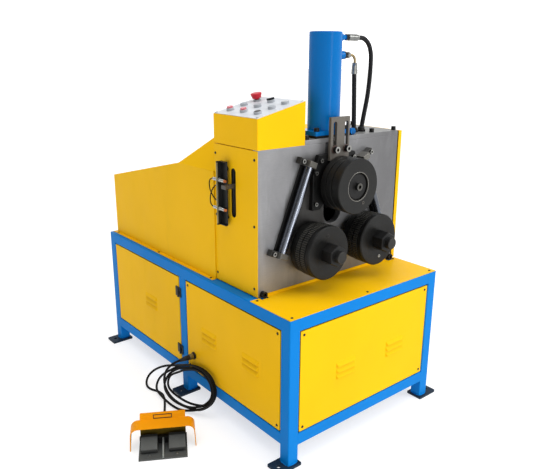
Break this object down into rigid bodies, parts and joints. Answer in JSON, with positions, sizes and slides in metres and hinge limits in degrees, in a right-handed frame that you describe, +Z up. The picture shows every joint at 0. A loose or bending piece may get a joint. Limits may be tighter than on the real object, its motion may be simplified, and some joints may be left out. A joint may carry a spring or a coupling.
{
  "type": "pipe bending machine",
  "caption": "Hydraulic three-roll pipe and section bender: driven lower rolls, an upper roll on a cylinder-pressed slide, sheet-clad tube base, control box and cabled foot switch.",
  "frame": {"origin": "on the floor, at the centre of the rectangle of the four corner anchor holes", "axes": "+Z up, -Y towards the rolls and the operator, +X to the operator's right when facing the rolls"},
  "size_m": [1.3184, 1.468, 1.6],
  "materials": {
    "yellow_paint": "semi-gloss powder coat",
    "blue_paint": "gloss paint",
    "ground_steel": "ground",
    "black_steel": "oiled black oxide",
    "chromed_steel": "hard chrome",
    "hose_rubber": "matte",
    "grey_plastic": "satin",
    "dark_plastic": "satin",
    "red_plastic": "gloss",
    "white_panel": "satin",
    "box_paint": "semi-gloss powder coat",
    "orange_paint": "gloss paint",
    "zinc_plate": "zinc plated",
    "cast_grey": "painted casting"
  },
  "bodies": {
    "machine": {"front_panel": "yellow_paint", "left_front_panel": "yellow_paint", "plain_panels": "yellow_paint", "top_sheet": "yellow_paint", "side_covers": "yellow_paint", "rear_cover": "yellow_paint", "base_frame": "blue_paint", "cylinder_barrel": "blue_paint", "cylinder_flange": "blue_paint", "front_plate": "ground_steel", "top_plate": "ground_steel", "rear_plate": "ground_steel", "side_plates": "ground_steel", "lower_bearings": "ground_steel", "guide_plates": "black_steel", "rod_brackets": "black_steel", "plate_bolts": "black_steel", "socket_screws": "black_steel", "panel_screws": "black_steel", "hinge_frame_leaves": "black_steel", "sensor_rail": "black_steel", "guide_rods": "chromed_steel", "hose_fittings": "chromed_steel", "hydraulic_hoses": "hose_rubber", "foot_cable": "hose_rubber", "foot_cable_coil": "hose_rubber", "cable_socket": "hose_rubber", "button_collars": "grey_plastic", "foot_switch_base": "grey_plastic", "control_panel": "white_panel", "control_box": "box_paint", "foot_switch_hood": "orange_paint", "proximity_sensors": "zinc_plate", "electric_backplate": "zinc_plate", "gear_motor": "cast_grey", "power_pack": "cast_grey"},
    "door": {"base_door": "yellow_paint", "hinge_door_leaves": "black_steel"},
    "slide": {"slide_block": "ground_steel", "piston_rod": "chromed_steel", "slot_plate": "ground_steel", "target_arm": "ground_steel"},
    "upper_roll_body": {"upper_roll": "black_steel", "upper_shaft": "ground_steel"},
    "lower_left": {"lower_roll_left": "black_steel", "lower_shaft_left": "ground_steel"},
    "lower_right": {"lower_roll_right": "black_steel", "lower_shaft_right": "ground_steel"},
    "pinion": {"drive_pinion": "ground_steel"},
    "dark_button_body": {"dark_button": "dark_plastic"},
    "red_button_middle_body": {"red_button_middle": "red_plastic"},
    "red_button_rear_body": {"red_button_rear": "red_plastic"},
    "grey_button_front_body": {"grey_button_front": "grey_plastic"},
    "grey_button_middle_body": {"grey_button_middle": "grey_plastic"},
    "grey_button_rear_body": {"grey_button_rear": "grey_plastic"},
    "white_button_body": {"white_button": "grey_plastic"},
    "selector_knob_body": {"selector_knob": "dark_plastic"},
    "stop_mushroom_body": {"stop_mushroom": "red_plastic"},
    "pedal_left_body": {"pedal_left": "hose_rubber"},
    "pedal_right_body": {"pedal_right": "hose_rubber"}
  },
  "joints": [
    {"name": "upper_slide", "type": "slide", "parent": "machine", "child": "slide", "axis": [0, 0, 1], "range_m": [-0.076, 0]},
    {"name": "upper_roll_spin", "type": "hinge", "parent": "slide", "child": "upper_roll_body", "pos_m": [0.007, -0.57, 1.023], "axis": [0, 1, 0], "continuous": true},
    {"name": "lower_left_spin", "type": "hinge", "parent": "machine", "child": "lower_left", "pos_m": [-0.137, -0.56, 0.779], "axis": [0, 1, 0], "continuous": true},
    {"name": "lower_right_spin", "type": "hinge", "parent": "machine", "child": "lower_right", "pos_m": [0.151, -0.56, 0.779], "axis": [0, 1, 0], "continuous": true},
    {"name": "pinion_spin", "type": "hinge", "parent": "machine", "child": "pinion", "pos_m": [0.007, -0.31, 0.779], "axis": [0, 1, 0], "continuous": true},
    {"name": "door_hinge", "type": "hinge", "parent": "machine", "child": "door", "pos_m": [-0.4275, 0.038, 0.35], "axis": [0, 0, 1], "range_deg": [0, 90]},
    {"name": "dark_button_press", "type": "slide", "parent": "machine", "child": "dark_button_body", "axis": [0.2244, 0, -0.9745], "range_m": [0, 0.003], "stiffness_N_per_m": 700, "springref_m": -0.003},
    {"name": "red_button_middle_press", "type": "slide", "parent": "machine", "child": "red_button_middle_body", "axis": [0.2244, 0, -0.9745], "range_m": [0, 0.003], "stiffness_N_per_m": 700, "springref_m": -0.003},
    {"name": "red_button_rear_press", "type": "slide", "parent": "machine", "child": "red_button_rear_body", "axis": [0.2244, 0, -0.9745], "range_m": [0, 0.003], "stiffness_N_per_m": 700, "springref_m": -0.003},
    {"name": "grey_button_front_press", "type": "slide", "parent": "machine", "child": "grey_button_front_body", "axis": [0.2244, 0, -0.9745], "range_m": [0, 0.003], "stiffness_N_per_m": 700, "springref_m": -0.003},
    {"name": "grey_button_middle_press", "type": "slide", "parent": "machine", "child": "grey_button_middle_body", "axis": [0.2244, 0, -0.9745], "range_m": [0, 0.003], "stiffness_N_per_m": 700, "springref_m": -0.003},
    {"name": "grey_button_rear_press", "type": "slide", "parent": "machine", "child": "grey_button_rear_body", "axis": [0.2244, 0, -0.9745], "range_m": [0, 0.003], "stiffness_N_per_m": 700, "springref_m": -0.003},
    {"name": "white_button_press", "type": "slide", "parent": "machine", "child": "white_button_body", "axis": [0.2244, 0, -0.9745], "range_m": [0, 0.003], "stiffness_N_per_m": 700, "springref_m": -0.003},
    {"name": "selector_turn", "type": "hinge", "parent": "machine", "child": "selector_knob_body", "pos_m": [-0.20487, -0.34108, 1.33971], "axis": [-0.2244, 0, 0.9745], "range_deg": [-45, 45]},
    {"name": "stop_mushroom_press", "type": "slide", "parent": "machine", "child": "stop_mushroom_body", "axis": [0.2244, 0, -0.9745], "range_m": [0, 0.005], "stiffness_N_per_m": 700, "springref_m": -0.003},
    {"name": "pedal_left_tip", "type": "hinge", "parent": "machine", "child": "pedal_left_body", "pos_m": [-0.75143, -0.26028, 0.03], "axis": [0.8634, -0.5045, 0], "range_deg": [0, 5], "stiffness_Nm_per_rad": 4, "springref_deg": -8.59},
    {"name": "pedal_right_tip", "type": "hinge", "parent": "machine", "child": "pedal_right_body", "pos_m": [-0.67027, -0.30771, 0.03], "axis": [0.8634, -0.5045, 0], "range_deg": [0, 5], "stiffness_Nm_per_rad": 4, "springref_deg": -8.59}
  ],
  "couplings": [
    {"joint": "lower_right_spin", "follows": "lower_left_spin", "ratio": 1},
    {"joint": "pinion_spin", "follows": "lower_left_spin", "ratio": -1.4}
  ]
}
